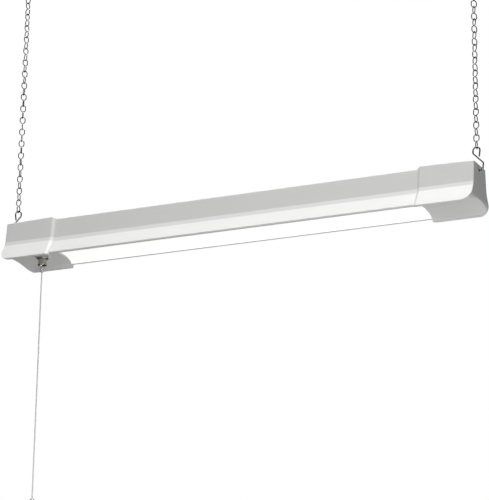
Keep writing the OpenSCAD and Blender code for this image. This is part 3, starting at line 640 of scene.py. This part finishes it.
# Halves of outlines run from the foot to the top, as (out from the middle, up)
BEND_Z = 37.4
FLARE_TOP_Z = 30.2
CAP_HALF = [(rim_half_w, 0), (35.2, FLARE_TOP_Z), (33, BEND_Z), (28.3, 78)]
CAP_RADII = [0.8, 5.0, 5.0, 1.8]
CAP_FALL = 2.6      # how much lower the cap's top is at its outer end
CAP_WALL = 2.0
END_ROUND = 18.0    # of the lower end corner
END_EDGE = 1.6      # of the other edges of the end face
BEVEL_L = 5.0
BEVEL_D = 3.3
BEVEL_EASE_L = 1.0  # either side of the bevel's inner end
BEVEL_EASE_D = 0.14
VAULT_HALF_W = rim_half_w - 8
VAULT_RISE = 13.0
ARCH_STEPS = 16
RIM_LIP = 8.0
CHANNEL_HALF_W = 44
CHANNEL_TOP_Z = 74
CHANNEL_HALF = [(CHANNEL_HALF_W, lip_z), (31.4984, 28.6258), (29.0683, 36.5788),
                (24.7363, CHANNEL_TOP_Z)]
MOUTH_GAP = 0.3
MOUTH_LOW_Z = 5.3
MOUTH_RADII = [0, 5.0, 5.0, 1.4]
SLOT_Z = 66
SLOT_W = 16
SLOT_H = 6.4
INLET_Z = 38
INLET_D = 12.1
NOZZLE_HOLE_D = 10.1
NOZZLE_HOLE_Z = (10, 18)


def section(half, low_z, top_z, arch_half_w, arch_rise, radii):
    """A closed outline with an arch in its underside: right half, then its mirror image."""
    line = [Vector(p) for p in half]
    line[0] = on_line(line[0], line[1], low_z)
    line[-1] = on_line(line[-2], line[-1], top_z)
    meet = math.asin(min(1.0, low_z / arch_rise))
    reach = arch_half_w * math.cos(meet)
    arch = []
    for k in range(ARCH_STEPS + 1):
        a = meet + (math.pi / 2 - meet) * (1 - k / ARCH_STEPS)
        height = max(low_z, arch_rise * math.sin(a))
        arch.append(Vector((arch_half_w * math.cos(a), height)))
    flat = [Vector((reach + (line[0].x - reach) * k / 4, low_z)) for k in range(1, 4)]
    side = eased([flat[-1]] + line + [Vector((0, top_z))], radii)
    right = arch + flat[:-1] + side
    left = [Vector((-p.x, p.y)) for p in reversed(right[1:-1])]
    return right + left


def cap_section(x, wall):
    """A cap's section at x, one wall thickness inside its surface."""
    into_bevel = max(0.0, 1 - (x - rim_x) / BEVEL_L)
    aside = BEVEL_D * into_bevel
    from_bevel_end = abs(x - rim_x - BEVEL_L) / BEVEL_EASE_L
    if from_bevel_end < 1:
        aside += BEVEL_EASE_D * (1 - from_bevel_end) ** 2
    into_edge = max(0.0, x - (end_x - wall - END_EDGE))
    aside += END_EDGE - math.sqrt(max(0.0, END_EDGE ** 2 - into_edge ** 2))
    into_round = max(0.0, x - (end_x - END_ROUND))
    round_r = END_ROUND - wall
    low_z = END_ROUND - math.sqrt(max(0.0, round_r ** 2 - into_round ** 2))
    top_z = cap_h - wall - CAP_FALL * (x - rim_x) / (end_x - rim_x) - aside
    half = moved_left(CAP_HALF, wall + aside)
    return section(half, low_z, top_z, VAULT_HALF_W + wall, VAULT_RISE + wall, CAP_RADII)


def cap_stations(wall):
    """Where the sections lie along X: close at the bevel and round the end."""
    start = [rim_x + RIM_LIP] if wall else [rim_x + d for d in (0, 4, 4.5, 5, 5.5, 6, 9)]
    straight = [380, 400, 420, end_x - END_ROUND]
    angles = [7.5 * k for k in range(1, 10)] + [73.87, 78, 82, 86, 90]
    return start + straight + [
        end_x - END_ROUND + (END_ROUND - wall) * math.sin(math.radians(a)) for a in angles]


def cap_solid(side, stations, outline_at):
    """A solid of the left or right cap, through its outlines at the stations."""
    bm = bmesh.new()
    loft(bm, [[at_light(side * x, p[0], p[1]) for p in outline_at(x)] for x in stations])
    return bm


def rod_between(a, b, radius, sides=48):
    """A plain rod between two places, to cut a hole with."""
    axis = (b - a).normalized()
    s = axis.orthogonal().normalized()
    bm = bmesh.new()
    loft(bm, [circle(p, radius, s, axis.cross(s), sides) for p in (a, b)])
    return bm


def slot_outline():
    """The hanging slot: a round-ended outline of (front to back, up)."""
    r = SLOT_H / 2
    half = SLOT_W / 2 - r
    return [(side * half + r * math.cos(a), SLOT_Z + r * math.sin(a))
            for side, turn in ((1, -90), (-1, 90))
            for a in (math.radians(turn + 12 * k) for k in range(16))]


def scratch_object(bm, name):
    """A mesh object that only lives until a boolean has used it."""
    return added(name, closed_mesh(bm, name, 1e-7, 1e-7))


def cut(solid, cutters):
    """The solid's mesh with the cutters taken out of it."""
    for cutter in cutters:
        taken = solid.modifiers.new("cut", "BOOLEAN")
        taken.operation = "DIFFERENCE"
        taken.solver = "EXACT"
        taken.object = cutter
    bpy.context.view_layer.update()
    shaped = bpy.data.meshes.new_from_object(
        solid.evaluated_get(bpy.context.evaluated_depsgraph_get()))
    bm = bmesh.new()
    bm.from_mesh(shaped)
    for used in [solid] + cutters:
        mesh = used.data
        bpy.data.objects.remove(used)
        bpy.data.meshes.remove(mesh)
    bpy.data.meshes.remove(shaped)
    return bm


def make_cap(side, finish):
    """The moulded cap: a hollow shell with a bevelled mouth, a vault and a hook's slot."""
    word = "right" if side > 0 else "left"
    outer = cap_solid(side, cap_stations(0), lambda x: cap_section(x, 0))
    hollow = cap_solid(side, cap_stations(CAP_WALL), lambda x: cap_section(x, CAP_WALL))
    opening = section(moved_left(CHANNEL_HALF, -MOUTH_GAP), MOUTH_LOW_Z,
                      CHANNEL_TOP_Z + MOUTH_GAP, VAULT_HALF_W + CAP_WALL,
                      VAULT_RISE + CAP_WALL, MOUTH_RADII)
    mouth = cap_solid(side, (rim_x - 1, rim_x + RIM_LIP + 0.5), lambda x: opening)
    slot = cap_solid(side, (end_x - 2 * CAP_WALL, end_x + 1), lambda x: slot_outline())
    cutters = [scratch_object(bm, "cutter") for bm in (hollow, mouth, slot)]
    if side < 0:
        inlet = rod_between(at_light(-end_x - 1, 0, INLET_Z),
                            at_light(-end_x + 4, 0, INLET_Z), INLET_D / 2 * MM)
        nozzle = rod_between(*(at_light(switch_x, 0, z) for z in NOZZLE_HOLE_Z),
                             NOZZLE_HOLE_D / 2 * MM)
        cutters += [scratch_object(bm, "cutter") for bm in (inlet, nozzle)]
    bm = cut(scratch_object(outer, "cap_block"), cutters)
    return piece_from(bm, f"{word}_cap_shell", "light", finish,
                      [f"{word}_end_cap"])


cap_white = moulded_plastic("cap_plastic_white", (0.765, 0.765, 0.76), 0.55)
for cap_side in (-1, 1):
    make_cap(cap_side, cap_white)

# ---- Housing and diffuser ----

SHEET = 0.8
NOTCH_Z = 8.5
NOTCH_GAP = 0.4
LIP_IN = 7.0
LIP_RADIUS = 1.6
FOLD_RADII = [9.0, 9.0, 2.2]


def make_housing():
    """The folded channel. Its lips are cut away where it goes into the caps."""
    top = (0, CHANNEL_TOP_Z)
    lip = (CHANNEL_HALF_W - LIP_IN, lip_z)
    full = eased([lip] + CHANNEL_HALF + [top], [LIP_RADIUS] + FOLD_RADII)
    cut_foot = on_line(Vector(CHANNEL_HALF[0]), Vector(CHANNEL_HALF[1]), NOTCH_Z)
    short = eased([cut_foot] + CHANNEL_HALF[1:] + [top], FOLD_RADII)
    notch_x = rim_x - NOTCH_GAP
    bm = bmesh.new()
    for half, stations in ((full, spread(notch_x)), (short, [notch_x, channel_end_x]),
                           (short, [-channel_end_x, -notch_x])):
        line = mirrored(half)
        along_x(bm, line + moved_left(line, SHEET)[::-1], stations)
    finish = powder_coat("channel_white", (0.8, 0.8, 0.795))
    return piece_from(bm, "folded_channel", "light", finish,
                      ["housing"], sharp=50)


LENS_Z = 4.0
LENS_RISE = 11.5
LENS_HALF_W = 41.8
LENS_FOOT = 5.0
LENS_T = 1.5
LENS_FOOT_RADIUS = 0.5


def make_diffuser():
    """The opal diffuser: a long arch on two narrow feet."""
    half_w = LENS_HALF_W - LENS_FOOT
    arch = [(half_w * math.cos(a), LENS_Z + LENS_RISE * math.sin(a))
            for a in (math.radians(3 * k) for k in range(31))]
    foot = eased([(LENS_HALF_W, LENS_Z)] + arch[:2], [LENS_FOOT_RADIUS])
    line = mirrored(foot + [Vector(p) for p in arch[2:]])
    bm = bmesh.new()
    along_x(bm, line + moved_left(line, -LENS_T)[::-1], spread(lens_end_x))
    return piece_from(bm, "opal_diffuser", "light", opal("diffuser_opal"),
                      ["lens"], sharp=50)


make_housing()
make_diffuser()

# ---- Hooks and chains ----

HOOK_WIRE = 2.6
HOOK_TOP = 107.5
HOOK_RADII = [5.6, 5.6, 3, 3, 3, 2.2]
BRACKET_IN = 3.9


def make_lower_hook(side, word, finish):
    """The bent wire: a pinched loop, a slanted leg and a bight through the bracket."""
    z = HOOK_TOP
    bracket = end_x - BRACKET_IN
    points = [(end_x - 0.6, z - 16.4), (end_x + 1.6, z), (chain_x - 6.4, z),
              (chain_x - 6.6, z - 10.5), (end_x + 6.6, z - 29), (end_x + 5.2, SLOT_Z),
              (bracket - 4.2, SLOT_Z), (bracket - 5.4, SLOT_Z + 4.6)]
    line = eased(points, HOOK_RADII, 8)
    bm = bmesh.new()
    sweep(bm, [at_light(side * p[0], 0, p[1]) for p in line], HOOK_WIRE / 2 * MM, 16)
    return piece_from(bm, f"{word}_wire_hook", f"{word}_hook", finish,
                      [f"{word}_v_hook"], sharp=60)


LINK_W = 9.2
LINK_PITCH = 23.5
LINK_PLAY = 0.06
LINK_C = LINK_PITCH + link_wire + LINK_PLAY
LINK_COUNT = 20


def link_line():
    """The wire of one link, a figure of eight with its ends tucked in at the waist. The
    lower loop lies across the light's length and the upper one along it."""
    r = LINK_W / 2
    waist = LINK_C / 2
    turn = [math.radians(22.5 * k) for k in range(9)]
    round_bottom = [(-r * math.cos(a), 0, r - r * math.sin(a)) for a in turn]
    round_top = [(0, -r * math.cos(a), LINK_C - r + r * math.sin(a)) for a in turn]
    return smooth_line(
        [(-1.75, 0, waist - 0.1), (-3.5, 0, waist - 1.7), (-r, 0, waist - 4.3)]
        + round_bottom
        + [(r, 0, waist - 4.3), (3.4, 0, waist - 1.6), (1.3, 0, waist - 0.4),
           (0, -1.3, waist + 0.4), (0, -3.4, waist + 1.6), (0, -r, waist + 4.3)]
        + round_top
        + [(0, r, waist + 4.3), (0, 3.5, waist + 1.7), (0, 1.75, waist + 0.1)])


def make_links(side, links, name, body, node, finish):
    """Some links of a chain. Each is turned a little from the one below."""
    line = link_line()
    bm = bmesh.new()
    for i in links:
        turn = math.radians(90 * (LINK_COUNT - 1 - i) / (LINK_COUNT - 1))
        c, s = math.cos(turn), math.sin(turn)
        base = chain_low_z + i * LINK_PITCH
        path = [at_light(side * (chain_x + p.x * c - p.y * s), p.x * s + p.y * c, base + p.z)
                for p in line]
        sweep(bm, path, link_wire / 2 * MM, 8)
    return piece_from(bm, name, body, finish, [node], sharp=60)


hook_zinc = zinc_plate("hook_zinc", (0.24, 0.24, 0.24), 0.22)
chain_zinc = zinc_plate("chain_zinc", (0.24, 0.24, 0.245), 0.18)
for word, cap_side in (("left", -1), ("right", 1)):
    make_lower_hook(cap_side, word, hook_zinc)
    make_links(cap_side, range(LINK_COUNT - 1), f"{word}_jack_chain", f"{word}_links",
               f"{word}_chain", chain_zinc)
    make_links(cap_side, [LINK_COUNT - 1], f"{word}_first_link", f"{word}_upper",
               f"{word}_top_link", chain_zinc)

# ---- Switch nozzle ----

THREAD_R = 5.0
THREAD_DEPTH = 0.35
THREAD_LOW_Z = 7.6
THREAD_STEP = 0.4   # half the thread's pitch


def make_nozzle():
    """The nickelled nozzle: a belled mouth, a plain body and a threaded barrel."""
    mouth = smooth_line([(2.5, 0.2), (3.4, -1.2), (4.9, -3.2), (6.3, -4.4), (7.4, -4.5),
                         (8.3, -4.0), (8.5, -3.2), (8.2, -2.2), (7.75, -1.0), (7.55, 1.0)])
    thread = [(THREAD_R - (THREAD_DEPTH if k % 2 else 0), THREAD_LOW_Z + THREAD_STEP * k)
              for k in range(23)]
    profile = mouth + [(7.5, 7.3), (7.2, 7.6)] + thread + [(4.9, 16.6), (2.5, 16.6)]
    bm = bmesh.new()
    lathe(bm, profile, switch_x, 0)
    finish = polished("nozzle_nickel", (0.5, 0.48, 0.4), 0.16)
    return piece_from(bm, "pull_nozzle", "light", finish,
                      ["switch_nozzle"])


make_nozzle()

# ---- Finishes of the pieces that keep their CAD shape ----


def finish_nodes():
    """Gives each node that no piece replaces its material."""
    by_finish = {
        zinc_plate("bright_zinc", (0.66, 0.66, 0.66), 0.32):
            ["ceiling_hook_left", "ceiling_hook_right", "bracket_rivets", "tray_posts",
             "board_screws", "driver_screws", "switch_nut"],
        galvanised("spangled_zinc", (0.62, 0.63, 0.64)): ["left_bracket", "right_bracket"],
        zinc_plate("dark_plate", (0.24, 0.24, 0.25), 0.34): ["cap_screws", "tray_screws"],
        powder_coat("tray_enamel", (0.86, 0.86, 0.85), 0.22): ["led_tray"],
        lamp_board_white("lamp_board_mask"): ["led_board_front", "led_board_rear"],
        phosphor("chip_phosphor"): ["led_chips"],
        powder_coat("driver_enamel", (0.66, 0.66, 0.65), 0.34):
            ["driver_case", "driver_cover"],
        circuit_green("driver_solder_mask"): ["driver_board"],
        transformer_finish("ferrite_and_tape"): ["driver_transformer"],
        capacitor_sleeve("capacitor_sleeve"): ["driver_capacitors"],
        moulded_plastic("black_nylon", (0.03, 0.03, 0.032), 0.45, 1800):
            ["cord_bushing", "bushing_nut"],
        moulded_plastic("orange_cap", (0.85, 0.28, 0.03), 0.35): ["wire_connectors"],
        insulation("black_covering", (0.02, 0.02, 0.02)): ["live_wires"],
        insulation("white_covering", (0.8, 0.8, 0.78)): ["neutral_wire"],
        insulation("green_covering", (0.03, 0.3, 0.07)): ["ground_wire"],
        insulation("red_covering", (0.55, 0.03, 0.03)): ["board_jumper"],
        insulation("lead_covering", (0.55, 0.03, 0.03), (0.03, 0.08, 0.45)): ["led_wires"],
        zinc_plate("tinned_copper", (0.72, 0.5, 0.36), 0.3): ["ground_lug"],
        powder_coat("green_dip", (0.05, 0.36, 0.1), 0.3): ["ground_screw"],
        moulded_plastic("brown_resin", (0.1, 0.055, 0.03), 0.35, 1500):
            ["switch_body", "switch_cover"],
        moulded_plastic("ivory_nylon", (0.78, 0.74, 0.62), 0.4): ["switch_spool"],
        zinc_plate("spring_steel", (0.4, 0.4, 0.41), 0.3): ["switch_spring"],
        zinc_plate("contact_brass", (0.8, 0.62, 0.3), 0.28): ["switch_contacts"],
    }
    for finish, nodes in by_finish.items():
        for node in nodes:
            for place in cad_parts[node].material_slots:
                place.material = finish


finish_nodes()

# ---- Studio ----

FLOOR_Z = -2.4
FLOOR_HALF = 60
FLOOR_GLOW = 0.62
AMBIENT = 0.05
AIM = Vector((0, 0, rims_z * MM))
SOFTBOX_W = 1.2
SOFTBOX_H = 1.0
# Each softbox's place in metres from AIM, and its power in watts
SOFTBOXES = {
    "top_softbox": ((0.3, -0.2, 2.4), 79),
    "top_left_softbox": ((-1.2, -0.6, 2.3), 6),
    "front_softbox": ((0.6, -2.6, 0.2), 7),
    "front_left_softbox": ((-1.0, -2.6, 0.2), 5),
    "low_softbox": ((1.5, -2.6, -0.5), 28),
    "under_softbox": ((0.3, 0.0, -1.5), 10),
    "back_softbox": ((1.0, 1.3, -1.0), 9),
}


def make_floor():
    """A plain pale floor under the light."""
    bm = bmesh.new()
    steps = 8
    ticks = [FLOOR_HALF * (2 * i / steps - 1) for i in range(steps + 1)]
    grid = [[bm.verts.new((x, y, FLOOR_Z)) for x in ticks] for y in ticks]
    for a, b in zip(grid, grid[1:]):
        for i in range(steps):
            bm.faces.new((a[i], a[i + 1], b[i + 1], b[i]))
    floor = added("studio_floor", mesh_of(bm, "studio_floor"))
    f = Finish("floor_pale", (0.3, 0.3, 0.3), 0.8)
    f.feed("Base Color", f.blend(f.noise(3, 3), (0.28, 0.28, 0.28), (0.32, 0.32, 0.32)))
    f.feed("Emission Color", (1, 1, 1))
    f.feed("Emission Strength", FLOOR_GLOW)
    f.raise_by(f.noise(60, 3), 0.0005)
    floor.data.materials.append(f.material)
    # The object neither mirrors the floor nor gets light from it
    floor.visible_diffuse = False
    floor.visible_glossy = False


def make_world():
    """White behind the object, and a soft even light from all round."""
    world = bpy.data.worlds.new("studio")
    bpy.context.scene.world = world
    world.use_nodes = True
    nodes, links = world.node_tree.nodes, world.node_tree.links
    nodes.clear()
    seen = nodes.new("ShaderNodeBackground")
    seen.inputs[0].default_value = (1, 1, 1, 1)
    lit = nodes.new("ShaderNodeBackground")
    lit.inputs[0].default_value = (1, 1, 1, 1)
    lit.inputs[1].default_value = AMBIENT
    ray = nodes.new("ShaderNodeLightPath")
    mix = nodes.new("ShaderNodeMixShader")
    out = nodes.new("ShaderNodeOutputWorld")
    links.new(ray.outputs["Is Camera Ray"], mix.inputs[0])
    links.new(lit.outputs[0], mix.inputs[1])
    links.new(seen.outputs[0], mix.inputs[2])
    links.new(mix.outputs[0], out.inputs[0])


def make_softbox(name, place, power):
    """A rectangular light that faces the object."""
    data = bpy.data.lights.new(name, "AREA")
    data.shape = "RECTANGLE"
    data.size = SOFTBOX_W
    data.size_y = SOFTBOX_H
    data.energy = power
    softbox = added(name, data)
    softbox.location = AIM + Vector(place)
    softbox.visible_camera = False
    softbox.rotation_mode = "QUATERNION"
    away = softbox.location - AIM
    softbox.rotation_quaternion = away.to_track_quat("Z", "Y")


make_floor()
make_world()
for softbox_name, (softbox_place, softbox_power) in SOFTBOXES.items():
    make_softbox(softbox_name, softbox_place, softbox_power)
bpy.context.scene.view_settings.view_transform = "Standard"
